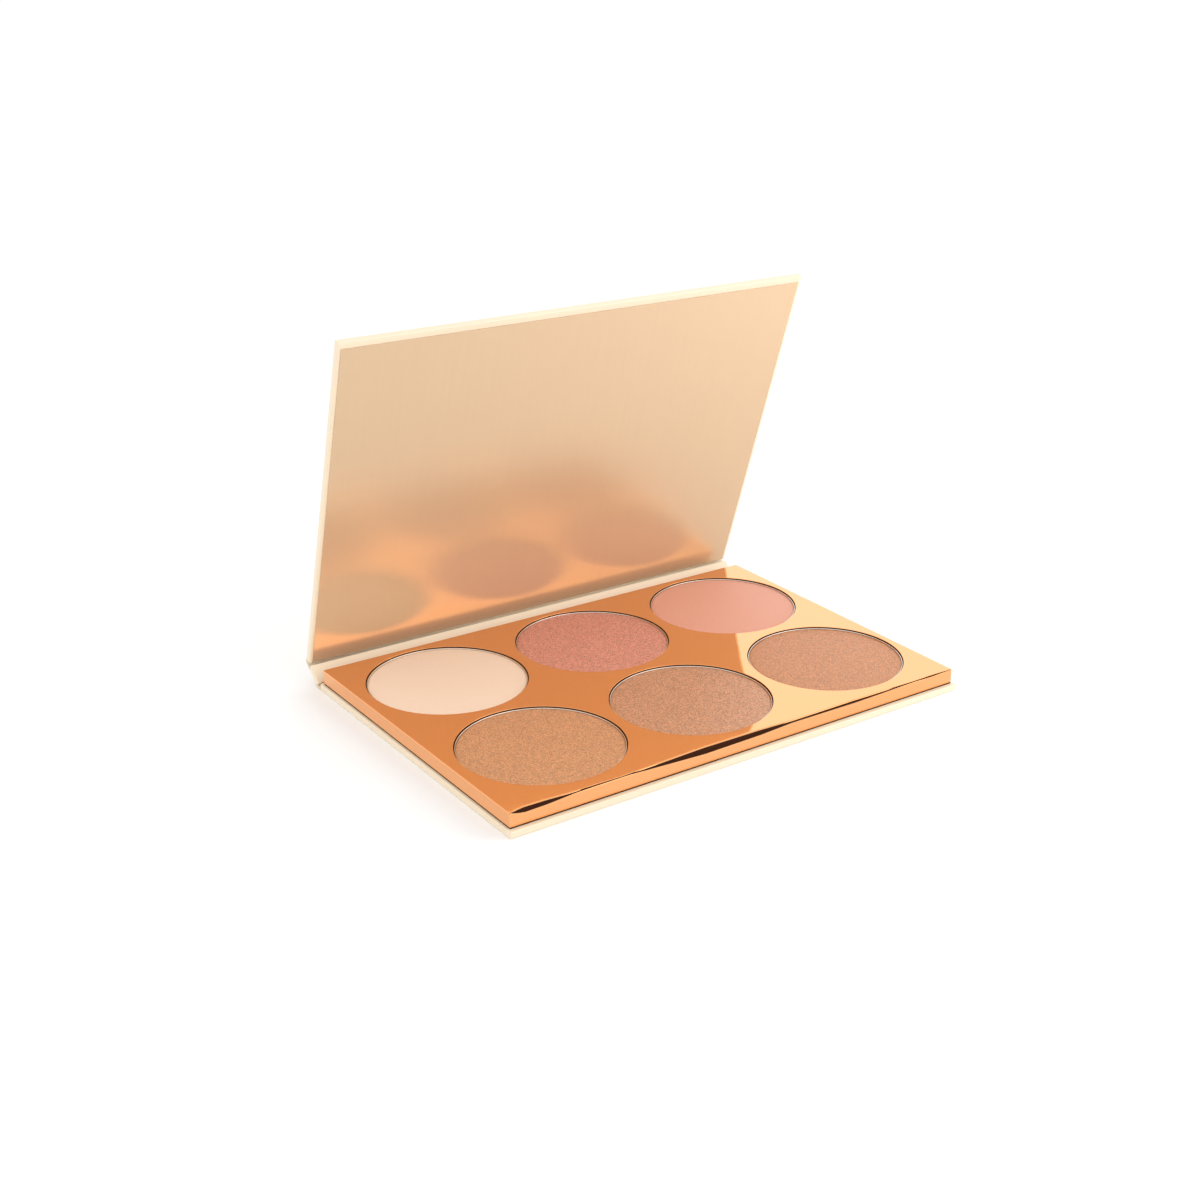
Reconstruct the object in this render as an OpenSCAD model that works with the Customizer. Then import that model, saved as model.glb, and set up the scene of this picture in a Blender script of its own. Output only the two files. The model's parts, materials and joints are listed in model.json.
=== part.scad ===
// Eyeshadow palette in a book-style card case.
// A base board carries the tray, a spine board stands behind it and a lid board closes over it.
// X runs left to right, Y to the rear and Z up; the origin is under the middle of the tray.

/* [Case] */
// Width of the base, the spine and the lid
case_w = 145.4; // [144.8:0.2:150]
// Distance from the tray's middle to the front edge of the base and of the closed lid
case_front = 50.2; // [49.6:0.1:56]
// Distance from the tray's middle back to the fold between base and spine
fold_y = 51.85; // [51.5:0.05:54]
// Thickness of the greyboard in the base, the spine and the lid
board_t = 1.5; // [1.2:0.1:2]
// Thickness of the covering and lining papers
paper_t = 0.2; // [0.15:0.05:0.25]
// Width of the covering paper that is turned in over the boards
turn_in = 15; // [10:1:20]
// Distance from the lower fold to the edge of the base board
joint_gap = 2.2; // [2.1:0.05:2.4]
// Distance from the upper fold down to the top of the spine board, which the lid board clears
spine_gap = 2.3; // [2.2:0.05:2.5]
// Distance from the upper fold to the edge of the lid board
lid_edge = 0.7; // [0.6:0.05:0.8]

/* [Tray] */
// Width of the tray
tray_w = 144; // [142:0.5:144.5]
// Depth of the tray, front to rear
tray_d = 97.8; // [96:0.2:98]
// Height of the tray above the base
tray_h = 4.3; // [4.2:0.1:6]
// Thickness of the card under the tray's wells
floor_t = 0.5; // [0.3:0.1:0.8]
// Thickness of the card with the round windows
card_t = 0.5; // [0.3:0.1:0.8]
// Thickness of the foil paper over the tray and inside the lid
foil_t = 0.15; // [0.1:0.05:0.2]

/* [Pans] */
// Pans in one row
columns = 3; // [3:1:3]
// Rows of pans
rows = 2; // [2:1:2]
// Distance between the middles of two pans next to each other
pitch = 47.3; // [46:0.1:47.6]
// Diameter of the round windows in the tray
hole_d = 44; // [40:0.1:44.4]
// How far the pans sit to the right of the tray's middle
shift_x = 0.6; // [0:0.1:0.8]
// How far the pans sit to the rear of the tray's middle
shift_y = 1; // [0:0.1:1.2]
// Thickness of the sheet that the pans are pressed from
pan_t = 0.3; // [0.2:0.05:0.4]
// Depth from the tray's top down to the rim of a pan
rim_drop = 0.35; // [0.2:0.05:0.6]
// Height of the crown on the pressed powder
crown = 0.12; // [0:0.02:0.2]

/* [Closure] */
// Diameter of the closure magnets
magnet_d = 8; // [5:0.5:9]
// Thickness of a closure magnet
magnet_t = 1.2; // [0.8:0.1:1.4]
// Distance from the tray's front edge to the middle of a magnet
magnet_inset = 6; // [5:0.5:7]

/* [Opening] */
// Lean of the spine back from upright
spine_lean = 47.2; // [0:0.1:90]
// Opening of the lid against the spine
lid_open = 24.3; // [0:0.1:90]

/* [Hidden] */
$fn = 96;
slack = 0.2;
half_w = case_w / 2;
side_t = paper_t + board_t + paper_t;
lid_gap = 0.4;
spine_h = side_t + tray_h + lid_gap + side_t - 2 * paper_t;
spine_end = 0.5;
spine_top = spine_h - spine_gap;
lap = 8;
pan_d = hole_d - 2 * slack;
well_d = hole_d + 3 * slack;
glue_t = 0.15;
tray_top = side_t + tray_h;
core_z = side_t + floor_t;
core_t = tray_h - floor_t - card_t - foil_t;
pan_z = core_z + glue_t;
pan_h = tray_top - rim_drop - pan_z;
pan_corner = 0.7;
powder_drop = 0.25;
crown_steps = 10;
magnet_x = pitch / 2;
magnet_y = -tray_d / 2 + magnet_inset;
liner_side = 0.9;
liner_top = 1.7;
liner_foot = 0.1;

function column_x(c) = shift_x + (c - (columns - 1) / 2) * pitch;
function row_y(r) = shift_y + (r - (rows - 1) / 2) * pitch;
PLACES = ["front_left", "front_mid", "front_right", "rear_left", "rear_mid", "rear_right"];
POWDERS = ["peru", "rosybrown", "burlywood", "bisque", "lightcoral", "lightpink"];
SIDES = ["left", "right"];
function place_of(i) = [column_x(i % columns), row_y(floor(i / columns))];

// A flat block from one corner to the opposite one
module block(from, to) {
    translate(from) cube(to - from);
}

// A block over the whole width between two lines, less an inset at both ends
module bar(inset, y0, y1, z0, z1) {
    block([inset - half_w, y0, z0], [half_w - inset, y1, z1]);
}

// Children of the spine, drawn upright with the lower fold at their origin
module on_spine() {
    translate([0, fold_y, paper_t]) rotate([-spine_lean, 0, 0]) children();
}

// Children of the lid, drawn closed with the upper fold at their origin
module on_lid() {
    on_spine() translate([0, 0, spine_h]) rotate([-lid_open, 0, 0]) children();
}

// The windows or wells for the pans, cut through everything they meet
module pan_holes(d) {
    for (i = [0 : columns * rows - 1])
        translate(concat(place_of(i), 0)) cylinder(d = d, h = tray_top + 1);
}

// Paper around a board: an outer sheet, three edges and the turned-in margins on the inside
// The board's front edge is at -front, its rear edge at rear, and the outer sheet runs on to sheet_end
module wrap(front, rear, sheet_end) {
    difference() {
        union() {
            bar(0, -front, sheet_end, 0, paper_t);
            bar(0, -front, rear, 0, side_t);
        }
        bar(paper_t, -front + paper_t, rear + 1, paper_t, paper_t + board_t);
        bar(turn_in, -front + turn_in, rear + 1, paper_t, side_t + 1);
    }
}

// Lining paper that comes down over a board's edge and runs across the gap to the fold
module gap_lining(rear, fold) {
    bar(turn_in, rear - lap, rear, paper_t + board_t, side_t);
    bar(0, rear, rear + paper_t, paper_t, side_t);
    bar(0, rear, fold - paper_t, paper_t, 2 * paper_t);
}

// The bent paper at a fold: a sector about the fold line, from one angle to another
module crease(from, to) {
    rotate([90, 0, 90]) rotate([0, 0, from]) rotate_extrude(angle = to - from)
        translate([0, -half_w]) square([paper_t, case_w]);
}

module base_board() {
    color("darkkhaki")
        bar(paper_t, -case_front + paper_t, fold_y - joint_gap, paper_t, paper_t + board_t);
}

module base_wrap() {
    color("antiquewhite") wrap(case_front, fold_y - joint_gap, fold_y);
}

module base_lining() {
    color("wheat") gap_lining(fold_y - joint_gap, fold_y);
}

module tray_glue() {
    rear = fold_y - joint_gap - lap;
    color("ivory") bar(turn_in, -case_front + turn_in, rear, paper_t + board_t, side_t);
}

// A sheet over the tray's floor area, inside the foil walls
module tray_sheet(z0, z1) {
    x = tray_w / 2 - foil_t;
    y = tray_d / 2 - foil_t;
    block([-x, -y, z0], [x, y, z1]);
}

module tray_floor() {
    color("tan") tray_sheet(side_t, core_z);
}

module tray_core() {
    color("darkkhaki") difference() {
        tray_sheet(core_z, core_z + core_t);
        pan_holes(well_d);
        for (x = [-magnet_x, magnet_x])
            translate([x, magnet_y, core_z + core_t - magnet_t]) cylinder(d = magnet_d, h = 9);
    }
}

module tray_card() {
    color("tan") difference() {
        tray_sheet(core_z + core_t, tray_top - foil_t);
        pan_holes(hole_d);
    }
}

module tray_foil() {
    x = tray_w / 2;
    y = tray_d / 2;
    color("sandybrown") difference() {
        block([-x, -y, side_t], [x, y, tray_top]);
        tray_sheet(side_t - 1, tray_top - foil_t);
        pan_holes(hole_d);
    }
}

module tray_magnet(s) {
    translate([(2 * s - 1) * magnet_x, magnet_y, core_z + core_t - magnet_t])
        color("silver") cylinder(d = magnet_d, h = magnet_t);
}

// A shallow pan pressed from sheet, with a slanted corner round its foot
module pan(i) {
    r = pan_d / 2;
    translate(concat(place_of(i), pan_z)) color("gainsboro") rotate_extrude() polygon([
        [0, 0], [r - pan_corner, 0], [r, pan_corner], [r, pan_h], [r - pan_t, pan_h],
        [r - pan_t, pan_corner + pan_t / 2], [r - pan_corner - pan_t / 2, pan_t], [0, pan_t]
    ]);
}

// Powder pressed into a pan, with a slightly crowned top
module powder(i) {
    r = pan_d / 2 - pan_t;
    top = pan_h - powder_drop;
    translate(concat(place_of(i), pan_z)) color(POWDERS[i]) rotate_extrude() polygon(concat(
        [[0, pan_t], [r + pan_t / 2 - pan_corner, pan_t], [r, pan_corner + pan_t / 2]],
        [for (k = [crown_steps : -1 : 0]) let (u = k / crown_steps) [r * u, top + crown * (1 - u * u)]]
    ));
}

module pan_glue(i) {
    translate(concat(place_of(i), core_z)) color("ivory") cylinder(d = pan_d / 2, h = glue_t);
}

module lower_crease() {
    translate([0, fold_y, paper_t]) color("antiquewhite") crease(-90, -spine_lean);
}

module spine_board() {
    color("darkkhaki") on_spine()
        bar(paper_t, -board_t, 0, spine_end, spine_top);
}

module spine_wrap() {
    color("antiquewhite") on_spine() {
        bar(0, 0, paper_t, 0, spine_h);
        for (s = [0, 1]) mirror([s, 0, 0]) {
            block([half_w - paper_t, -board_t - paper_t, spine_end], [half_w, 0, spine_top]);
            block(
                [half_w - turn_in, -board_t - paper_t, spine_end],
                [half_w - paper_t, -board_t, spine_top]
            );
        }
    }
}

// Lining paper over the spine board and both its ends, and on towards the upper fold
module spine_lining() {
    inner = -board_t - paper_t;
    color("wheat") on_spine() {
        bar(turn_in, inner, -board_t, spine_end, spine_top);
        bar(0, inner, 0, spine_end - paper_t, spine_end);
        bar(0, inner, 0, spine_top, spine_top + paper_t);
        bar(0, -paper_t, 0, spine_top, spine_h - 2 * paper_t);
    }
}

module upper_crease() {
    on_spine() translate([0, 0, spine_h]) color("antiquewhite") crease(0, 90 - lid_open);
}

// Children of the lid that share their shape with the base, turned over onto the lid
module turned_over() {
    on_lid() translate([0, -fold_y, paper_t]) mirror([0, 0, 1]) children();
}

module lid_board() {
    color("darkkhaki") turned_over() difference() {
        bar(paper_t, -case_front + paper_t, fold_y - lid_edge, paper_t, paper_t + board_t);
        for (x = [-magnet_x, magnet_x])
            translate([x, magnet_y, paper_t + board_t - magnet_t]) cylinder(d = magnet_d, h = 9);
    }
}

module lid_wrap() {
    color("antiquewhite") turned_over() wrap(case_front, fold_y - lid_edge, fold_y);
}

module lid_lining() {
    color("wheat") turned_over() gap_lining(fold_y - lid_edge, fold_y);
}

module lid_glue() {
    rear = fold_y - lid_edge - lap;
    color("ivory") turned_over()
        bar(turn_in, -case_front + turn_in, rear, paper_t + board_t, side_t);
}

module lid_liner() {
    rear = fold_y - lid_edge - liner_foot;
    color("burlywood") turned_over()
        bar(liner_side, -case_front + liner_top, rear, side_t, side_t + foil_t);
}

module lid_magnet(s) {
    color("silver") turned_over()
        translate([(2 * s - 1) * magnet_x, magnet_y, paper_t + board_t - magnet_t])
            cylinder(d = magnet_d, h = magnet_t);
}

base_board();
base_wrap();
base_lining();
tray_glue();
tray_floor();
tray_core();
tray_card();
tray_foil();
lower_crease();
spine_board();
spine_wrap();
spine_lining();
upper_crease();
lid_board();
lid_wrap();
lid_lining();
lid_glue();
lid_liner();
for (s = [0, 1]) {
    tray_magnet(s);
    lid_magnet(s);
}
for (i = [0 : len(PLACES) - 1]) {
    pan(i);
    powder(i);
    pan_glue(i);
}
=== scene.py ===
"""Eyeshadow palette: the finished look of a book-style card case with six round pans.

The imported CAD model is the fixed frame. Each operator below makes one piece, or one group of like
pieces, in that frame: the paper covers, the bent paper at the folds, the two foils, the pans and
their pressed powders. The boards, cards and magnets stay as they are and only get a material.
"""

import json
from math import cos, pi, radians, sin, tau

import bmesh
import bpy
from mathutils import Matrix, Vector


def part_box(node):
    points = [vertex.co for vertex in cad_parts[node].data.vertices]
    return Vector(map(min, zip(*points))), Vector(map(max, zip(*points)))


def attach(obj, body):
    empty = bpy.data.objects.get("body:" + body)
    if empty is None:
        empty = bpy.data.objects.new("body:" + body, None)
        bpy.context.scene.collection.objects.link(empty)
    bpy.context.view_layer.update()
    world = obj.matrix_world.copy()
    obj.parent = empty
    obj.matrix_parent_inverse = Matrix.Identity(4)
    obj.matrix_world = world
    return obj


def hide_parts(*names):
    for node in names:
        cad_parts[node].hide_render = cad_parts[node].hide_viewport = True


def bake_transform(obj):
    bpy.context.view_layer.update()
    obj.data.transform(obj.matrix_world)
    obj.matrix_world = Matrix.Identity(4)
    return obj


bl_info = {
    "name": "Eyeshadow Palette",
    "version": (1, 0, 0),
    "blender": (4, 5, 0),
    "location": "View3D > Sidebar > Palette",
    "description": "Makes the finished pieces of a card eyeshadow palette round its CAD frame",
    "category": "Object",
}

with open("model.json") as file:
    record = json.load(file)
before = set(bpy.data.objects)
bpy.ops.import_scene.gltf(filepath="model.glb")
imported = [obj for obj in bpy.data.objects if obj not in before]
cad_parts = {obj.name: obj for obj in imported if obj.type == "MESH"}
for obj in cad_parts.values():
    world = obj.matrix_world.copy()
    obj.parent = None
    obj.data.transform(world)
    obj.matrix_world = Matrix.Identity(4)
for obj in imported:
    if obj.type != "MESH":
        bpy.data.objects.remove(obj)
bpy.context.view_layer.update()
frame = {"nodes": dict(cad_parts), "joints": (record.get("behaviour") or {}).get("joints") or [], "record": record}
MM = 0.001
PLACES = ("front_left", "front_mid", "front_right", "rear_left", "rear_mid", "rear_right")


# ---------------------------------------------------------------- places taken from the frame

def joint(name):
    """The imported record's entry for one fold."""
    return next(j for j in frame["joints"] if j["name"] == name)


def drawn_box(node, place):
    """A CAD node's lowest and highest corners in the drawing that a place matrix puts it in."""
    back = place.inverted()
    spots = [back @ v.co for v in frame["nodes"][node].data.vertices]
    return (Vector([min(p[k] for p in spots) for k in range(3)]),
            Vector([max(p[k] for p in spots) for k in range(3)]))


BASE_LOW, BASE_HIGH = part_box("base_wrap")
BOARD_LOW, BOARD_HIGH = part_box("base_board")
HALF_W = BASE_HIGH.x
PAPER_T = BOARD_LOW.z - BASE_LOW.z
BOARD_T = BOARD_HIGH.z - BOARD_LOW.z
SIDE_T = BASE_HIGH.z - BASE_LOW.z
LOWER_FOLD = Vector(joint("spine_fold")["pos_m"])
UPPER_FOLD = Vector(joint("lid_fold")["pos_m"])
SPINE_H = (UPPER_FOLD - LOWER_FOLD).length
# Each fold's range starts where the case is shut, so it also says how far the case stands open.
SPINE_LEAN = radians(-joint("spine_fold")["range_deg"][0])
LID_OPEN = radians(-joint("lid_fold")["range_deg"][0])

# The spine and the lid are drawn as if the case were shut, with their fold at the origin.
SPINE_PLACE = Matrix.Translation(LOWER_FOLD) @ Matrix.Rotation(-SPINE_LEAN, 4, "X")
LID_PLACE = (SPINE_PLACE @ Matrix.Translation((0, 0, SPINE_H))
             @ Matrix.Rotation(-LID_OPEN, 4, "X"))
# A drawing of the base, turned over onto the lid
BASE_ONTO_LID = (LID_PLACE @ Matrix.Translation((0, -LOWER_FOLD.y, PAPER_T))
                 @ Matrix.Diagonal((1, 1, -1, 1)))

# Where the boards end, measured from the folds
BASE_GAP = LOWER_FOLD.y - BOARD_HIGH.y
LID_GAP = LOWER_FOLD.y - drawn_box("lid_board", BASE_ONTO_LID)[1].y
SPINE_LOW = drawn_box("spine_board", SPINE_PLACE)[0].z
SPINE_HIGH = drawn_box("spine_board", SPINE_PLACE)[1].z


# ---------------------------------------------------------------- sizes and colours

def length(name, value, description):
    """A length property in metres that the sidebar shows in the scene's units."""
    return bpy.props.FloatProperty(
        name=name, description=description, default=value, min=0, unit="LENGTH", precision=5)


def linear(hex_colour):
    """An sRGB hex colour as a linear RGB triple."""
    channels = [int(hex_colour[i:i + 2], 16) / 255 for i in (1, 3, 5)]
    return [c / 12.92 if c <= 0.04045 else ((c + 0.055) / 1.055) ** 2.4 for c in channels]


def colour(name, hex_colour, description):
    """A colour property with an sRGB hex default."""
    return bpy.props.FloatVectorProperty(
        name=name, description=description, default=linear(hex_colour),
        subtype="COLOR", min=0, max=1)


class PaletteSizes(bpy.types.PropertyGroup):
    """Sizes of the covers, foils, pans and powders that the frame doesn't hold."""
    edge_r: length("Edge rounding", 0.32 * MM, "Radius of the covered board edges")
    turn_in: length("Turn-in", 15 * MM, "Width of the paper turned in over the boards")
    foil_t: length("Foil paper", 0.12 * MM, "Thickness of the foil papers")
    fold_r: length("Tray fold", 0.25 * MM, "Radius of the foil where it folds over the tray")
    loose_r: length("Loose fold", 2 * MM, "Radius of the front fold where it is loosest")
    # Above this radius the front fold is cut away, so that the dark card shows as a painted dark reflection band.
    painted_slit_r: length("Open fold", 0.42 * MM, "Radius above which the fold has split open")
    # The gap is wide, so that the dark card under it shows as a painted shade line at the foot of the wall.
    foil_foot: length("Foil foot", 0.45 * MM, "Gap under the foil's lower edge")
    window_r: length("Window edge", 0.1 * MM, "Radius of the foil at the die-cut windows")
    rim_r: length("Pan rim", 0.14 * MM, "Radius of the rim of a pan")
    pan_foot_r: length("Pan foot", 0.7 * MM, "Radius round the foot of a pan")
    powder_r: length("Powder edge", 0.9 * MM, "Width of the rounded edge of a pressed powder")
    powder_drop: length("Powder edge drop", 0.28 * MM, "Fall of the powder at its edge")


class PaletteColours(bpy.types.PropertyGroup):
    """Colours of the papers, foils, metals and powders."""
    case_paper: colour("Case paper", "#F5E3C7", "Pearl paper over the boards")
    rose_foil: colour("Rose-gold foil", "#F5B178", "Mirror foil paper over the tray")
    liner_foil: colour("Liner foil", "#D6B794", "Satin foil paper inside the lid")
    pan_metal: colour("Pan metal", "#E6DDD2", "Bright metal of the pans")
    greyboard: colour("Greyboard", "#A79C88", "Bare board inside the case")
    # Kept very dark, so that where it shows under the foil's foot, at the windows and through the cut front fold
    # it is painted shade and a painted dark reflection.
    card: colour("Card", "#3A1C0A", "Brown card under the foil")
    adhesive: colour("Adhesive", "#EFEAD8", "Dried adhesive sheets and discs")
    magnet: colour("Magnet", "#C9C9CB", "Nickel plating of the magnets")
    front_left: colour("Front left powder", "#D59B70", "Golden bronze shimmer")
    front_mid: colour("Front middle powder", "#CE9877", "Taupe bronze shimmer")
    front_right: colour("Front right powder", "#C98A60", "Peach bronze satin")
    rear_left: colour("Rear left powder", "#FFDBC2", "Cream satin")
    rear_mid: colour("Rear middle powder", "#E79A88", "Rose shimmer")
    rear_right: colour("Rear right powder", "#E5A086", "Light pink satin")


class PaletteStage(bpy.types.PropertyGroup):
    """Camera, light and floor."""
    eye: bpy.props.FloatVectorProperty(
        name="Eye", description="Where the camera stands", default=(-0.2534, -0.3561, 0.2056),
        subtype="TRANSLATION", unit="LENGTH")
    heading: bpy.props.FloatProperty(
        name="Heading", description="Turn of the view to the right of straight back",
        default=radians(37.13), subtype="ANGLE")
    pitch: bpy.props.FloatProperty(
        name="Pitch", description="Fall of the view below level",
        default=radians(25.47), subtype="ANGLE")
    roll: bpy.props.FloatProperty(
        name="Roll", description="Turn of the camera about its view",
        default=radians(1.13), subtype="ANGLE")
    lens: bpy.props.FloatProperty(
        name="Lens", description="Focal length on a 36 mm sensor, in millimetres", default=52.1)
    shift: bpy.props.FloatVectorProperty(
        name="Shift", description="Shift of the frame, in frame widths",
        default=(-0.072, 0.0825), size=2)
    sky: bpy.props.FloatProperty(
        name="Sky", description="Strength of the white studio all round", default=1.06)
    softbox: bpy.props.FloatProperty(
        name="Side softbox", description="Power of the side softbox, in watts", default=0.65)
    front_softbox: bpy.props.FloatProperty(
        name="Front softbox", description="Power of the front softbox, in watts", default=4)
    rear_softbox: bpy.props.FloatProperty(
        name="Rear softbox", description="Power of the rear softbox, in watts", default=1.25)
    floor: colour("Floor", "#FDFDFD", "Matt white floor")


# ---------------------------------------------------------------- materials

def add(tree, kind, inputs=None, **settings):
    """Adds a shader node with its settings, and links or sets its inputs."""
    made = tree.nodes.new(kind)
    for key, value in settings.items():
        setattr(made, key, value)
    for key, value in (inputs or {}).items():
        if isinstance(value, bpy.types.NodeSocket):
            tree.links.new(value, made.inputs[key])
        else:
            made.inputs[key].default_value = value
    return made


# A Mix node's two colour inputs and its colour output share their names with those of other types.
MIX_A, MIX_B, MIX_COLOUR = 6, 7, 2
# How far the ridges of the brushed liner lean from the sheet
RIDGE_LEAN = radians(14)


def cycles_per(size_mm):
    """Texture scale, in repeats per metre, of a pattern whose grains are so many millimetres."""
    return 1 / (size_mm * MM)


def new_material(name):
    """An empty material with its node tree and its object coordinates."""
    made = bpy.data.materials.new(name)
    made.use_nodes = True
    made.node_tree.nodes.clear()
    return made, made.node_tree, add(made.node_tree, "ShaderNodeTexCoord").outputs["Object"]


def surfaced(made, shader):
    """The material, showing its shader."""
    add(made.node_tree, "ShaderNodeOutputMaterial", {"Surface": shader.outputs["BSDF"]})
    return made


def rgba(rgb, share=1):
    """A colour with full alpha, darkened or lightened by a share."""
    return [min(1, c * share) for c in rgb] + [1]


def pearl_paper(name, rgb):
    """Coated pearl paper: a satin face with a faint fibre and a slow change of tone."""
    made, tree, place = new_material(name)
    fibres = add(tree, "ShaderNodeTexNoise", {
        "Vector": place, "Scale": cycles_per(0.5), "Detail": 4, "Roughness": 0.6})
    cloud = add(tree, "ShaderNodeTexNoise", {"Vector": place, "Scale": cycles_per(25)})
    tone = add(tree, "ShaderNodeMix", {
        "Factor": cloud.outputs["Fac"], MIX_A: rgba(rgb, 0.97), MIX_B: rgba(rgb, 1.02),
    }, data_type="RGBA")
    relief = add(tree, "ShaderNodeBump", {
        "Height": fibres.outputs["Fac"], "Distance": 0.012 * MM})
    return surfaced(made, add(tree, "ShaderNodeBsdfPrincipled", {
        "Base Color": tone.outputs[MIX_COLOUR], "Roughness": 0.42, "Sheen Weight": 0.1,
        "Sheen Roughness": 0.4, "Normal": relief.outputs["Normal"]}))


def mirror_foil_paper(name, rgb):
    """Metallised paper, hot calendered: a near mirror that shows the unevenness of its card."""
    made, tree, place = new_material(name)
    card = add(tree, "ShaderNodeTexNoise", {
        "Vector": place, "Scale": cycles_per(20), "Detail": 1})
    grain = add(tree, "ShaderNodeTexNoise", {"Vector": place, "Scale": cycles_per(1.6)})
    waves = add(tree, "ShaderNodeBump", {
        "Height": card.outputs["Fac"], "Distance": 0.06 * MM})
    relief = add(tree, "ShaderNodeBump", {
        "Height": grain.outputs["Fac"], "Distance": 0.0016 * MM,
        "Normal": waves.outputs["Normal"]})
    return surfaced(made, add(tree, "ShaderNodeBsdfPrincipled", {
        "Base Color": rgba(rgb), "Metallic": 1, "Roughness": 0.045,
        "Normal": relief.outputs["Normal"]}))


def satin_foil_paper(name, rgb):
    """Brushed satin foil paper: partly matt, with a soft stretched sheen and a dim image.

    The ridges of the brushing lean, so the sheen lies higher than on a flat sheet. All its
    directions turn with the lid, because the lid turns about X.
    """
    made, tree, place = new_material(name)
    upright = add(tree, "ShaderNodeMapping", {
        "Vector": place, "Rotation": (SPINE_LEAN + LID_OPEN, 0, 0), "Scale": (1, 0.03, 0.03)})
    streaks = add(tree, "ShaderNodeTexNoise", {
        "Vector": upright.outputs["Vector"], "Scale": cycles_per(0.9), "Detail": 3})
    tone = add(tree, "ShaderNodeMix", {
        "Factor": streaks.outputs["Fac"], MIX_A: rgba(rgb, 0.97), MIX_B: rgba(rgb, 1.02),
    }, data_type="RGBA")
    face = add(tree, "ShaderNodeNewGeometry")
    leaning = add(tree, "ShaderNodeVectorRotate", {
        "Vector": face.outputs["Normal"], "Angle": -RIDGE_LEAN}, rotation_type="X_AXIS")
    relief = add(tree, "ShaderNodeBump", {
        "Height": streaks.outputs["Fac"], "Distance": 0.006 * MM,
        "Normal": leaning.outputs["Vector"]})
    across = add(tree, "ShaderNodeCombineXYZ", {"X": 1})
    return surfaced(made, add(tree, "ShaderNodeBsdfPrincipled", {
        "Base Color": tone.outputs[MIX_COLOUR], "Metallic": 0.43, "Roughness": 0.25,
        "Anisotropic": 0.3, "Tangent": across.outputs["Vector"],
        "Normal": relief.outputs["Normal"]}))


def pressed_powder(name, rgb, shimmer):
    """Pressed powder: packed grains, and in a shimmer shade mica flakes that catch the light.

    The flakes are drawn about twice as coarse as real ones, so that they show.
    """
    made, tree, place = new_material(name)
    grain = add(tree, "ShaderNodeTexNoise", {
        "Vector": place, "Scale": cycles_per(0.3), "Detail": 3, "Roughness": 0.65})
    flakes = add(tree, "ShaderNodeTexVoronoi", {"Vector": place, "Scale": cycles_per(0.22)})
    flake = add(tree, "ShaderNodeSeparateColor", {"Color": flakes.outputs["Color"]})
    mixed = add(tree, "ShaderNodeMix", {
        "Factor": shimmer, "A": grain.outputs["Fac"], "B": flake.outputs["Red"]})
    spread = 0.05 + 0.36 * shimmer
    tone = add(tree, "ShaderNodeMix", {
        "Factor": mixed.outputs["Result"],
        MIX_A: rgba(rgb, 1 - spread), MIX_B: rgba(rgb, 1 + spread)}, data_type="RGBA")
    packed = add(tree, "ShaderNodeBump", {
        "Height": grain.outputs["Fac"], "Distance": (0.03 + 0.02 * shimmer) * MM})
    tilted = add(tree, "ShaderNodeBump", {
        "Height": flake.outputs["Green"], "Distance": 0.05 * shimmer * MM,
        "Normal": packed.outputs["Normal"]})
    return surfaced(made, add(tree, "ShaderNodeBsdfPrincipled", {
        "Base Color": tone.outputs[MIX_COLOUR], "Roughness": 0.62 - 0.2 * shimmer,
        "Metallic": 0.4 * shimmer, "Sheen Weight": 0.2 * (1 - shimmer),
        "Sheen Roughness": 0.5, "Normal": tilted.outputs["Normal"]}))


def bright_tin(name, rgb):
    """Bright pressed sheet metal with a fine grain from rolling."""
    made, tree, place = new_material(name)
    grain = add(tree, "ShaderNodeTexNoise", {"Vector": place, "Scale": cycles_per(0.4)})
    tone = add(tree, "ShaderNodeMix", {
        "Factor": grain.outputs["Fac"], MIX_A: rgba(rgb, 0.96), MIX_B: rgba(rgb, 1.02),
    }, data_type="RGBA")
    relief = add(tree, "ShaderNodeBump", {
        "Height": grain.outputs["Fac"], "Distance": 0.003 * MM})
    return surfaced(made, add(tree, "ShaderNodeBsdfPrincipled", {
        "Base Color": tone.outputs[MIX_COLOUR], "Metallic": 1, "Roughness": 0.22,
        "Normal": relief.outputs["Normal"]}))


def raw_board(name, rgb):
    """Recycled board: a rough face with fibres and darker specks."""
    made, tree, place = new_material(name)
    specks = add(tree, "ShaderNodeTexNoise", {
        "Vector": place, "Scale": cycles_per(0.7), "Detail": 4, "Roughness": 0.7})
    tone = add(tree, "ShaderNodeMix", {
        "Factor": specks.outputs["Fac"], MIX_A: rgba(rgb, 0.8), MIX_B: rgba(rgb, 1.12),
    }, data_type="RGBA")
    relief = add(tree, "ShaderNodeBump", {
        "Height": specks.outputs["Fac"], "Distance": 0.05 * MM})
    return surfaced(made, add(tree, "ShaderNodeBsdfPrincipled", {
        "Base Color": tone.outputs[MIX_COLOUR], "Roughness": 0.9, "Specular IOR Level": 0.1,
        "Normal": relief.outputs["Normal"]}))


def dried_glue(name, rgb):
    """Dried adhesive film: milky and slightly lumpy."""
    made, tree, place = new_material(name)
    lumps = add(tree, "ShaderNodeTexNoise", {"Vector": place, "Scale": cycles_per(3)})
    tone = add(tree, "ShaderNodeMix", {
        "Factor": lumps.outputs["Fac"], MIX_A: rgba(rgb, 0.94), MIX_B: rgba(rgb, 1.02),
    }, data_type="RGBA")
    relief = add(tree, "ShaderNodeBump", {
        "Height": lumps.outputs["Fac"], "Distance": 0.03 * MM})
    return surfaced(made, add(tree, "ShaderNodeBsdfPrincipled", {
        "Base Color": tone.outputs[MIX_COLOUR], "Roughness": 0.5,
        "Normal": relief.outputs["Normal"]}))


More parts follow.
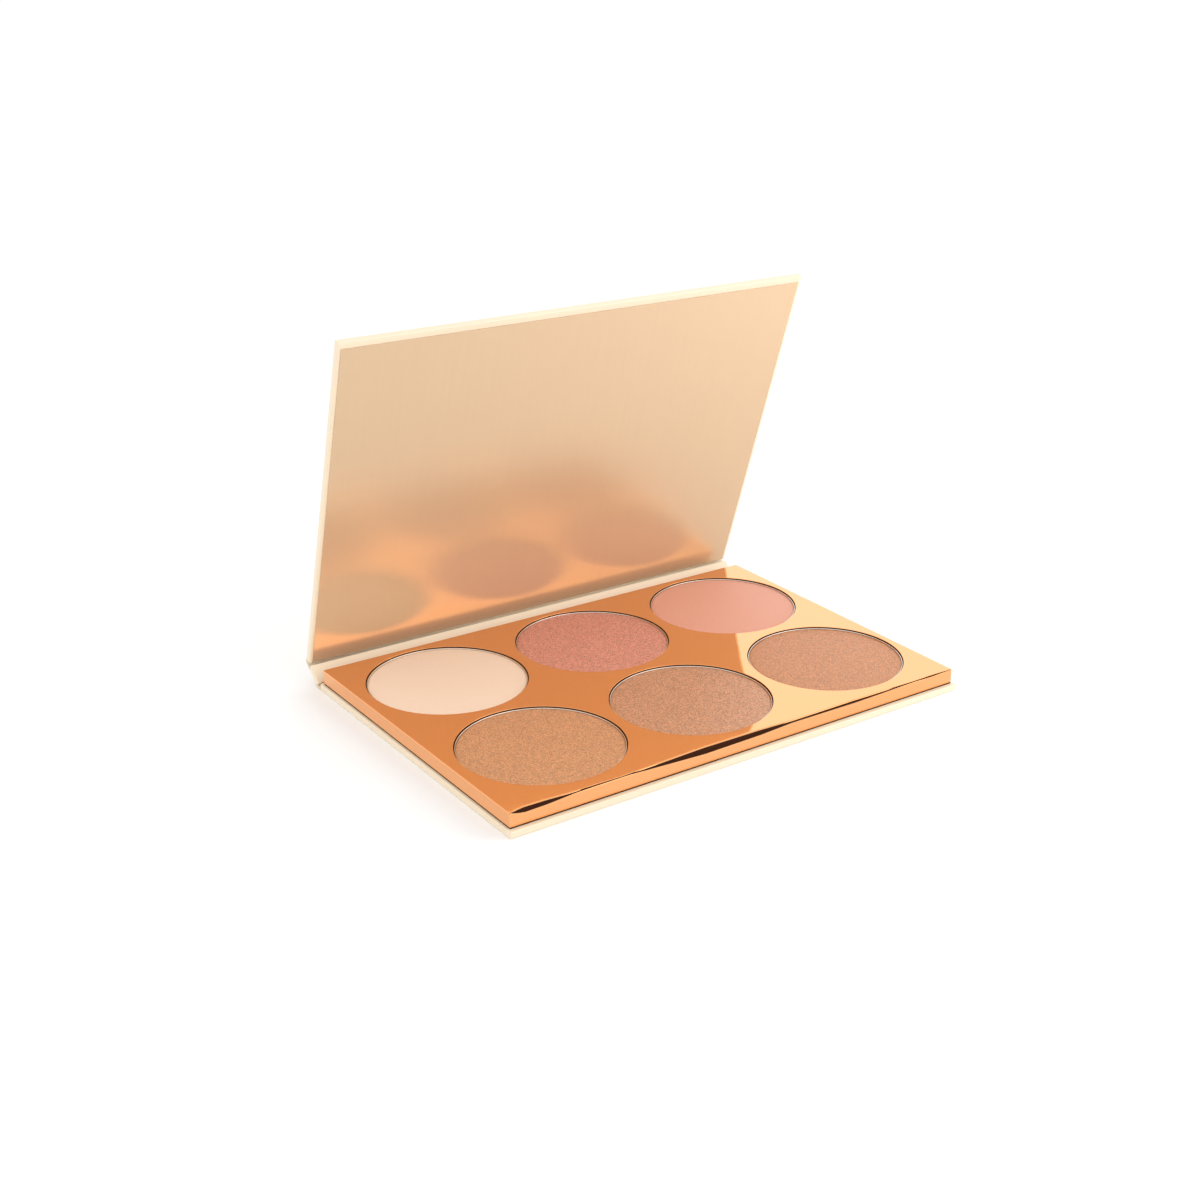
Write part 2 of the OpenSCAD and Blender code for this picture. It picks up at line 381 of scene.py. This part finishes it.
def nickel_plate(name, rgb):
    """Nickel plating: bright, with a faint bloom."""
    made, tree, place = new_material(name)
    bloom = add(tree, "ShaderNodeTexNoise", {"Vector": place, "Scale": cycles_per(2)})
    tone = add(tree, "ShaderNodeMix", {
        "Factor": bloom.outputs["Fac"], MIX_A: rgba(rgb, 0.95), MIX_B: rgba(rgb, 1.02),
    }, data_type="RGBA")
    return surfaced(made, add(tree, "ShaderNodeBsdfPrincipled", {
        "Base Color": tone.outputs[MIX_COLOUR], "Metallic": 1, "Roughness": 0.18}))


def studio_paper(name, rgb):
    """Matt studio paper, in one even tone."""
    made, tree, place = new_material(name)
    cloud = add(tree, "ShaderNodeTexNoise", {"Vector": place, "Scale": cycles_per(400)})
    tone = add(tree, "ShaderNodeMix", {
        "Factor": cloud.outputs["Fac"], MIX_A: rgba(rgb, 0.995), MIX_B: rgba(rgb, 1.005),
    }, data_type="RGBA")
    return surfaced(made, add(tree, "ShaderNodeBsdfPrincipled", {
        "Base Color": tone.outputs[MIX_COLOUR], "Roughness": 0.9, "Specular IOR Level": 0}))


def material(maker, name, *args):
    """The named material, made the first time that it is asked for."""
    return bpy.data.materials.get(name) or maker(name, *args)


# ---------------------------------------------------------------- mesh helpers

# Two faces that meet at more than this have an edge to round.
SQUARE = radians(60)


def new_piece(name, mesh_from, place=None):
    """A smooth object from a bmesh, placed through its mesh."""
    if place is not None:
        bmesh.ops.transform(mesh_from, matrix=place, verts=mesh_from.verts)
    bmesh.ops.remove_doubles(mesh_from, verts=mesh_from.verts, dist=1e-7)
    bmesh.ops.recalc_face_normals(mesh_from, faces=mesh_from.faces)
    for face in mesh_from.faces:
        face.smooth = True
    mesh = bpy.data.meshes.new(name)
    mesh_from.to_mesh(mesh)
    mesh_from.free()
    piece = bpy.data.objects.new(name, mesh)
    bpy.context.scene.collection.objects.link(piece)
    return piece


def even_shading(piece):
    """Keeps large flat faces flat next to their rounded edges."""
    shade = piece.modifiers.new("Flat faces", "WEIGHTED_NORMAL")
    shade.mode = "FACE_AREA_WITH_ANGLE"
    shade.keep_sharp = True


def wall(piece, thickness):
    """Gives a sheet its thickness, inwards."""
    solid = piece.modifiers.new("Wall", "SOLIDIFY")
    solid.thickness = thickness
    solid.offset = -1
    solid.use_even_offset = True


def finish_piece(piece, paint, slot_name, *nodes):
    """Gives a piece its material and hides the CAD nodes that it stands for. slot_name is not used."""
    piece.data.materials.append(paint)
    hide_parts(*nodes)


def box_mesh(low, high):
    """A bmesh box from one corner to the opposite one."""
    low, high = Vector(low), Vector(high)
    made = bmesh.new()
    bmesh.ops.create_cube(made, size=1, matrix=(
        Matrix.Translation((low + high) / 2) @ Matrix.Diagonal((*(high - low), 1))))
    return made


def round_edges(made, radius, keep_sharp=lambda edge: False, segments=4):
    """Rounds the square edges of a bmesh, apart from those that are to stay sharp."""
    edges = [e for e in made.edges
             if len(e.link_faces) == 2 and e.calc_face_angle() > SQUARE and not keep_sharp(e)]
    bmesh.ops.bevel(
        made, geom=edges, offset=radius, offset_type="OFFSET", affect="EDGES",
        segments=segments, profile=0.5, material=-1, clamp_overlap=True)


def spun(profile, steps=128):
    """A bmesh turned about Z from a profile of (radius, height) points."""
    made = bmesh.new()
    points = [made.verts.new((r, 0, z)) for r, z in profile]
    edges = [made.edges.new(pair) for pair in zip(points, points[1:])]
    bmesh.ops.spin(
        made, geom=points + edges, cent=(0, 0, 0), axis=(0, 0, 1), angle=tau,
        steps=steps, use_merge=True, use_duplicate=False)
    return made


def arc(centre_r, centre_z, radius, start, end, steps=5):
    """Profile points round a centre, from one angle to another, in degrees from outwards."""
    turns = [radians(start + (end - start) * k / steps) for k in range(steps + 1)]
    return [(centre_r + radius * cos(t), centre_z + radius * sin(t)) for t in turns]


# ---------------------------------------------------------------- case

def cover_mesh(low, high, sizes, window, uncut):
    """Paper round a board: a box with rounded edges and, inside the turned-in margins, a window.

    The inside of the case is at the top. Edges that uncut picks run on into the next fold.
    """
    made = box_mesh(low, high)
    if window:
        inside = max(made.faces, key=lambda face: face.calc_center_median().z)
        bmesh.ops.inset_region(made, faces=[inside], thickness=sizes.turn_in, depth=0)
        bmesh.ops.delete(made, geom=[inside], context="FACES_ONLY")
    round_edges(made, sizes.edge_r, uncut)
    return made


class PALETTE_OT_covers(bpy.types.Operator):
    """Covers the base, the spine and the lid board with pearl paper"""
    bl_idname = "palette.covers"
    bl_label = "Paper covers"

    def execute(self, context):
        sizes = context.scene.palette_sizes
        paper = material(pearl_paper, "pearl_paper", context.scene.palette_colours.case_paper)

        def at_fold(edge):
            """The lower rear edge, where the outer paper runs on into a hinge."""
            rear = LOWER_FOLD.y - BASE_GAP
            return all(v.co.z < PAPER_T / 2 and v.co.y > rear for v in edge.verts)

        def outside(edge):
            """The spine's two long outer edges, where its paper runs on into both hinges."""
            long = abs(edge.verts[0].co.x - edge.verts[1].co.x) > HALF_W
            return long and all(v.co.y > 0 for v in edge.verts)

        front_low = (-HALF_W, BASE_LOW.y, 0)
        base = cover_mesh(
            front_low, (HALF_W, LOWER_FOLD.y - BASE_GAP + PAPER_T, SIDE_T), sizes, True, at_fold)
        lid = cover_mesh(
            front_low, (HALF_W, LOWER_FOLD.y - LID_GAP + PAPER_T, SIDE_T), sizes, True, at_fold)
        spine = cover_mesh(
            (-HALF_W, -BOARD_T - PAPER_T, SPINE_LOW - PAPER_T),
            (HALF_W, PAPER_T, SPINE_HIGH + PAPER_T), sizes, False, outside)
        for body, made, place in (("base", base, Matrix()), ("spine", spine, SPINE_PLACE),
                                  ("lid", lid, BASE_ONTO_LID)):
            piece = new_piece(body + "_cover", made, place)
            wall(piece, PAPER_T)
            even_shading(piece)
            finish_piece(piece, paper, "case_paper", body + "_wrap", body + "_lining")
            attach(piece, body)
        return {"FINISHED"}


# The bent paper stands out by this share of its thickness, so it stays just under the covers.
HINGE_SHARE = 0.97


def hinge_mesh(before, before_out, after, after_out, before_l, after_l):
    """A strip of doubled paper bent round a fold at the origin, drawn across the case.

    before and after point away from the fold along the two boards; the _out vectors point out of
    the case there. The outer face is an arc of one paper's thickness about the fold.
    """
    made = bmesh.new()
    skin = PAPER_T * HINGE_SHARE
    turn = before_out.angle(after_out)
    steps = 8
    bend = [before_out.slerp(after_out, k / steps) * skin for k in range(steps + 1)]
    middle = (before_out + after_out).normalized() * (PAPER_T / cos(turn / 2))
    profile = (
        [before * before_l + before_out * skin] + bend + [after * after_l + after_out * skin]
        + [after * after_l - after_out * PAPER_T] + [-middle]
        + [before * before_l - before_out * PAPER_T]
    )
    verts = [made.verts.new((-HALF_W, p.y, p.z)) for p in profile]
    face = made.faces.new(verts)
    far = bmesh.ops.extrude_face_region(made, geom=[face])["geom"]
    moved = [v for v in far if isinstance(v, bmesh.types.BMVert)]
    bmesh.ops.translate(made, vec=(2 * HALF_W, 0, 0), verts=moved)
    return made


class PALETTE_OT_hinges(bpy.types.Operator):
    """Bends the case's paper round the two folds"""
    bl_idname = "palette.hinges"
    bl_label = "Paper hinges"

    def execute(self, context):
        paper = material(pearl_paper, "pearl_paper", context.scene.palette_colours.case_paper)
        y, z = Vector((0, 1, 0)), Vector((0, 0, 1))
        spine_turn = SPINE_PLACE.to_3x3()
        lid_turn = LID_PLACE.to_3x3()
        folds = (
            ("lower", ("base", "spine"), LOWER_FOLD,
             (-y, -z, spine_turn @ z, spine_turn @ y), (BASE_GAP, SPINE_LOW)),
            ("upper", ("spine", "lid"), UPPER_FOLD,
             (spine_turn @ -z, spine_turn @ y, lid_turn @ -y, lid_turn @ z),
             (SPINE_H - SPINE_HIGH, LID_GAP)),
        )
        for side, bodies, fold, ways, gaps in folds:
            made = hinge_mesh(*ways, *(gap + PAPER_T for gap in gaps))
            piece = new_piece(side + "_hinge", made, Matrix.Translation(fold))
            finish_piece(piece, paper, "case_paper", side + "_crease")
            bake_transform(piece)
        return {"FINISHED"}


class PALETTE_OT_liner(bpy.types.Operator):
    """Glues the satin foil sheet inside the lid"""
    bl_idname = "palette.liner"
    bl_label = "Lid liner"

    def execute(self, context):
        foil = material(satin_foil_paper, "satin_gold_foil_paper",
                        context.scene.palette_colours.liner_foil)
        low, high = drawn_box("lid_liner", BASE_ONTO_LID)
        made = box_mesh(low, high)
        rounding = (high.z - low.z) * 0.35
        round_edges(made, rounding, segments=2)
        piece = new_piece("foil_liner", made, BASE_ONTO_LID)
        even_shading(piece)
        finish_piece(piece, foil, "liner_foil", "lid_liner")
        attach(piece, "lid")
        return {"FINISHED"}


# ---------------------------------------------------------------- tray

# The play between a pan's rim and its window
PAN_SLACK = 0.2 * MM
# Cuts along the tray's long sides, so that the loose fold can vary, and edges round a window
SIDE_CUTS = 71
WINDOW_EDGES = 160
# How wide the foil's front fold is, as shares of the loosest part, along shares of the half tray
FRONT_FOLD = (
    (-1, 0.2), (-0.95, 0.85), (-0.85, 0.75), (-0.75, 0.42), (-0.55, 0.27), (-0.35, 0.7),
    (-0.2, 1), (0.05, 0.85), (0.2, 0.5), (0.5, 0.6), (0.8, 0.3), (0.9, 0.4), (1, 0.2),
)
# The steepest and the flattest part of the fold, as heights of its normal, that is cut away so that the dark card
# shows as a painted dark reflection band
PAINTED_BAND_FROM, PAINTED_BAND_TO = 0.7, 0.95


def pan_middle(place):
    """The middle of a pan, from its CAD node."""
    low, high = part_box("pan_" + place)
    return (low + high) / 2


def roll_over(made, ring, paths, steps=6):
    """Extrudes a ring of edges over a rounded edge, a quarter turn outwards and down.

    paths gives, for each vertex of the ring, its way outwards and the radius of the edge there.
    """
    roots = {v: (v.co.copy(), *paths[v]) for e in ring for v in e.verts}
    edges = ring
    for k in range(1, steps + 1):
        turn = k / steps * pi / 2
        fresh = bmesh.ops.extrude_edge_only(made, edges=edges)["geom"]
        edges = [g for g in fresh if isinstance(g, bmesh.types.BMEdge)]
        moved = {}
        for v in (g for g in fresh if isinstance(g, bmesh.types.BMVert)):
            # The extruded vertex still lies on the one that it was drawn from.
            source = min(roots, key=lambda old: (old.co - v.co).length_squared)
            moved[v] = roots[source]
        for v, (start, way, radius) in moved.items():
            v.co = start + way * radius * sin(turn) - Vector((0, 0, radius * (1 - cos(turn))))
        roots = moved
    return edges


def drop(made, ring, z):
    """Extrudes a ring of edges straight down to a height."""
    out = bmesh.ops.extrude_edge_only(made, edges=ring)["geom"]
    for v in (g for g in out if isinstance(g, bmesh.types.BMVert)):
        v.co.z = z


class PALETTE_OT_tray_foil(bpy.types.Operator):
    """Wraps the tray in mirror foil paper, with a rolled edge at each window"""
    bl_idname = "palette.tray_foil"
    bl_label = "Tray foil"

    def execute(self, context):
        sizes = context.scene.palette_sizes
        foil = material(mirror_foil_paper, "rose_gold_mirror_foil_paper",
                        context.scene.palette_colours.rose_foil)
        low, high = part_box("tray_foil")
        card_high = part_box("tray_card")[1]
        pan_low, pan_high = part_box("pan_front_mid")
        window_r = (pan_high.x - pan_low.x) / 2 + PAN_SLACK
        corner = 2 * sizes.fold_r

        def fold_radius(spot):
            """The fold is tight but along the front, where the foil is loose in some places."""
            if spot.y > low.y + corner:
                return sizes.fold_r
            along = spot.x / high.x
            for (start, first), (end, last) in zip(FRONT_FOLD, FRONT_FOLD[1:]):
                if along <= end:
                    share = first + (last - first) * (along - start) / (end - start)
                    break
            return max(sizes.fold_r, sizes.loose_r * share)

        def outwards(spot):
            """The way out of the tray, square to its outline with rounded corners."""
            inner = Vector((
                min(max(spot.x, low.x + corner), high.x - corner),
                min(max(spot.y, low.y + corner), high.y - corner), spot.z))
            return (spot - inner).normalized()

        made = bmesh.new()
        bmesh.ops.create_grid(made, x_segments=1, y_segments=1, size=0.5, matrix=(
            Matrix.Translation(((low.x + high.x) / 2, (low.y + high.y) / 2, high.z))
            @ Matrix.Diagonal((high.x - low.x, high.y - low.y, 1, 1))))
        bmesh.ops.bevel(made, geom=made.verts[:], offset=corner, offset_type="OFFSET",
                        affect="VERTICES", segments=5, profile=0.5, material=-1)
        sides = [e for e in made.edges if e.calc_length() > high.y]
        bmesh.ops.subdivide_edges(made, edges=sides, cuts=SIDE_CUTS)
        bmesh.ops.delete(made, geom=made.faces[:], context="FACES_ONLY")
        outline = made.edges[:]
        folds = {v: (outwards(v.co), fold_radius(v.co)) for v in made.verts}
        for v, (way, radius) in folds.items():
            v.co -= way * radius
        windows = []
        for place in PLACES:
            middle = pan_middle(place)
            flat = Vector((middle.x, middle.y, high.z))
            ring = bmesh.ops.create_circle(
                made, cap_ends=False, radius=window_r + sizes.window_r,
                segments=WINDOW_EDGES, matrix=Matrix.Translation(flat))["verts"]
            cuts = {v: ((flat - v.co).normalized(), sizes.window_r) for v in ring}
            windows.append((cuts, list({e for v in ring for e in v.link_edges})))
        bmesh.ops.triangle_fill(
            made, use_beauty=True, use_dissolve=False, edges=made.edges[:], normal=(0, 0, 1))
        drop(made, roll_over(made, outline, folds), low.z + sizes.foil_foot)
        # Each window's wall stops at the card, whose dark cut edge below shows as a painted shade line round the
        # pan.
        for cuts, ring in windows:
            drop(made, roll_over(made, ring, cuts, steps=4), card_high.z)
        # Where the front fold is loosest, its faces are cut away, so that the dark card under them shows as a
        # painted dark reflection band.
        made.normal_update()
        painted_band_faces = []
        for face in made.faces:
            middle = face.calc_center_median()
            on_fold = (middle.y < low.y + sizes.loose_r and abs(middle.x) < high.x - corner
                       and PAINTED_BAND_FROM < abs(face.normal.z) < PAINTED_BAND_TO)
            if on_fold and fold_radius(middle) > sizes.painted_slit_r:
                painted_band_faces.append(face)
        bmesh.ops.delete(made, geom=painted_band_faces, context="FACES")
        piece = new_piece("foil_cover", made)
        wall(piece, sizes.foil_t)
        even_shading(piece)
        finish_piece(piece, foil, "rose_foil", "tray_foil")
        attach(piece, "base")
        return {"FINISHED"}


class PALETTE_OT_pans(bpy.types.Operator):
    """Spins the six pressed pans, with rounded rims and feet"""
    bl_idname = "palette.pans"
    bl_label = "Pans"

    def execute(self, context):
        sizes = context.scene.palette_sizes
        tin = material(bright_tin, "bright_tin", context.scene.palette_colours.pan_metal)
        for place in PLACES:
            low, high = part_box("pan_" + place)
            outer = (high.x - low.x) / 2
            sheet = 2 * sizes.rim_r
            foot = sizes.pan_foot_r
            height = high.z - low.z
            profile = (
                [(0, 0)] + arc(outer - foot, foot, foot, -90, 0)
                + arc(outer - sizes.rim_r, height - sizes.rim_r, sizes.rim_r, 0, 180, steps=8)
                + arc(outer - foot, foot, foot - sheet, 0, -90) + [(0, sheet)]
            )
            middle = pan_middle(place)
            piece = new_piece("pan_dish_" + place, spun(profile),
                              Matrix.Translation((middle.x, middle.y, low.z)))
            finish_piece(piece, tin, "pan_metal", "pan_" + place)
            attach(piece, "base")
        return {"FINISHED"}


# How much of each powder is mica, from matt to full shimmer
SHIMMER = {"front_left": 0.9, "front_mid": 1, "front_right": 0.9,
           "rear_left": 0.2, "rear_mid": 1, "rear_right": 0.3}
# How far the middle of a powder stands above the edge of its flat part
POWDER_CROWN = 0.1 * MM


class PALETTE_OT_powders(bpy.types.Operator):
    """Presses the six powders into their pans, each with its own colour and finish"""
    bl_idname = "palette.powders"
    bl_label = "Pressed powders"

    def execute(self, context):
        sizes = context.scene.palette_sizes
        colours = context.scene.palette_colours
        for place in PLACES:
            low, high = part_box("powder_" + place)
            outer = (high.x - low.x) / 2
            height = high.z - low.z
            flat_r = outer - sizes.powder_r
            turns = [k / 6 * pi / 2 for k in range(6, -1, -1)]
            edge = [(flat_r + sizes.powder_r * sin(turn),
                     height - POWDER_CROWN - sizes.powder_drop * (1 - cos(turn)))
                    for turn in turns]
            dome = [(flat_r * u, height - POWDER_CROWN * u * u) for u in (0.8, 0.6, 0.4, 0.2, 0)]
            foot = sizes.pan_foot_r
            profile = [(0, 0), (outer - foot, 0), (outer, foot)] + edge + dome
            middle = pan_middle(place)
            piece = new_piece("pressed_powder_" + place, spun(profile),
                              Matrix.Translation((middle.x, middle.y, low.z)))
            finish_piece(
                piece,
                material(pressed_powder, "pressed_powder_" + place, getattr(colours, place),
                         SHIMMER[place]),
                "powder_" + place, "powder_" + place)
            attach(piece, "base")
        return {"FINISHED"}


class PALETTE_OT_inside(bpy.types.Operator):
    """Gives the boards, cards, adhesives and magnets their materials"""
    bl_idname = "palette.inside"
    bl_label = "Boards, cards and magnets"

    def execute(self, context):
        colours = context.scene.palette_colours
        makers = {
            "greyboard": (raw_board, "greyboard", colours.greyboard),
            # The card's very dark brown is painted shade in the gaps round the foil.
            "card": (raw_board, "folding_card", colours.card),
            "adhesive": (dried_glue, "dried_adhesive", colours.adhesive),
            "magnet": (nickel_plate, "nickel_plate", colours.magnet),
        }
        for part in frame["record"]["subparts"]:
            if part["material_slot"] in makers:
                piece = frame["nodes"][part["node"]]
                piece.data.materials.clear()
                piece.data.materials.append(material(*makers[part["material_slot"]]))
        return {"FINISHED"}


# ---------------------------------------------------------------- stage

class PALETTE_OT_stage(bpy.types.Operator):
    """Sets up the white studio, its floor, the soft lights and the camera"""
    bl_idname = "palette.stage"
    bl_label = "Stage"

    def execute(self, context):
        scene = context.scene
        stage = scene.palette_stage
        world = bpy.data.worlds.new("white_studio")
        world.use_nodes = True
        sky = world.node_tree.nodes["Background"]
        sky.inputs["Color"].default_value = (1, 1, 1, 1)
        sky.inputs["Strength"].default_value = stage.sky
        scene.world = world
        scene.view_settings.view_transform = "Standard"

        made = bmesh.new()
        bmesh.ops.create_circle(made, cap_ends=True, radius=3, segments=96)
        floor = new_piece("studio_floor", made)
        floor.data.materials.append(material(studio_paper, "white_studio_paper", stage.floor))

        # A side softbox gives the light; those in front and behind are for the metals to mirror.
        for side, spot, width, height, power, lights_matt in (
                ("side", (0.34, -0.2, 0.18), 0.3, 0.3, stage.softbox, True),
                ("front", (0.61, -0.73, 0.83), 1.3, 0.55, stage.front_softbox, False),
                ("rear", (0.7, 0.87, 0.51), 1.4, 0.7, stage.rear_softbox, False)):
            light = bpy.data.lights.new(side + "_softbox", "AREA")
            light.energy = power
            light.shape = "RECTANGLE"
            light.size, light.size_y = width, height
            softbox = bpy.data.objects.new(side + "_softbox", light)
            softbox.location = spot
            softbox.rotation_euler = Vector(spot).to_track_quat("Z", "Y").to_euler()
            softbox.visible_camera = False
            softbox.visible_glossy = not lights_matt
            softbox.visible_diffuse = lights_matt
            scene.collection.objects.link(softbox)

        lens = bpy.data.cameras.new("camera")
        lens.lens = stage.lens
        lens.sensor_width = 36
        lens.shift_x, lens.shift_y = stage.shift
        lens.clip_start = 0.01
        camera = bpy.data.objects.new("camera", lens)
        camera.matrix_world = (
            Matrix.Translation(stage.eye) @ Matrix.Rotation(-stage.heading, 4, "Z")
            @ Matrix.Rotation(pi / 2 - stage.pitch, 4, "X") @ Matrix.Rotation(stage.roll, 4, "Z"))
        scene.collection.objects.link(camera)
        scene.camera = camera
        return {"FINISHED"}


class PALETTE_PT_sidebar(bpy.types.Panel):
    """Lists the steps that make the palette"""
    bl_idname = "PALETTE_PT_sidebar"
    bl_label = "Eyeshadow palette"
    bl_space_type = "VIEW_3D"
    bl_region_type = "UI"
    bl_category = "Palette"

    def draw(self, context):
        for group in (context.scene.palette_sizes, context.scene.palette_colours,
                      context.scene.palette_stage):
            box = self.layout.box()
            for name in group.__annotations__:
                box.prop(group, name)
        for step in STEPS:
            self.layout.operator(step.bl_idname)


STEPS = (
    PALETTE_OT_stage, PALETTE_OT_covers, PALETTE_OT_hinges, PALETTE_OT_liner,
    PALETTE_OT_tray_foil, PALETTE_OT_pans, PALETTE_OT_powders, PALETTE_OT_inside,
)
GROUPS = {
    "palette_sizes": PaletteSizes,
    "palette_colours": PaletteColours,
    "palette_stage": PaletteStage,
}


def register():
    for cls in (*GROUPS.values(), *STEPS, PALETTE_PT_sidebar):
        bpy.utils.register_class(cls)
    for name, group in GROUPS.items():
        setattr(bpy.types.Scene, name, bpy.props.PointerProperty(type=group))


def unregister():
    for name in GROUPS:
        delattr(bpy.types.Scene, name)
    for cls in reversed((*GROUPS.values(), *STEPS, PALETTE_PT_sidebar)):
        bpy.utils.unregister_class(cls)


def main():
    """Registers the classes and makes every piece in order."""
    register()
    bpy.ops.palette.stage()
    bpy.ops.palette.covers()
    bpy.ops.palette.hinges()
    bpy.ops.palette.liner()
    bpy.ops.palette.tray_foil()
    bpy.ops.palette.pans()
    bpy.ops.palette.powders()
    bpy.ops.palette.inside()


if __name__ == "__main__":
    main()
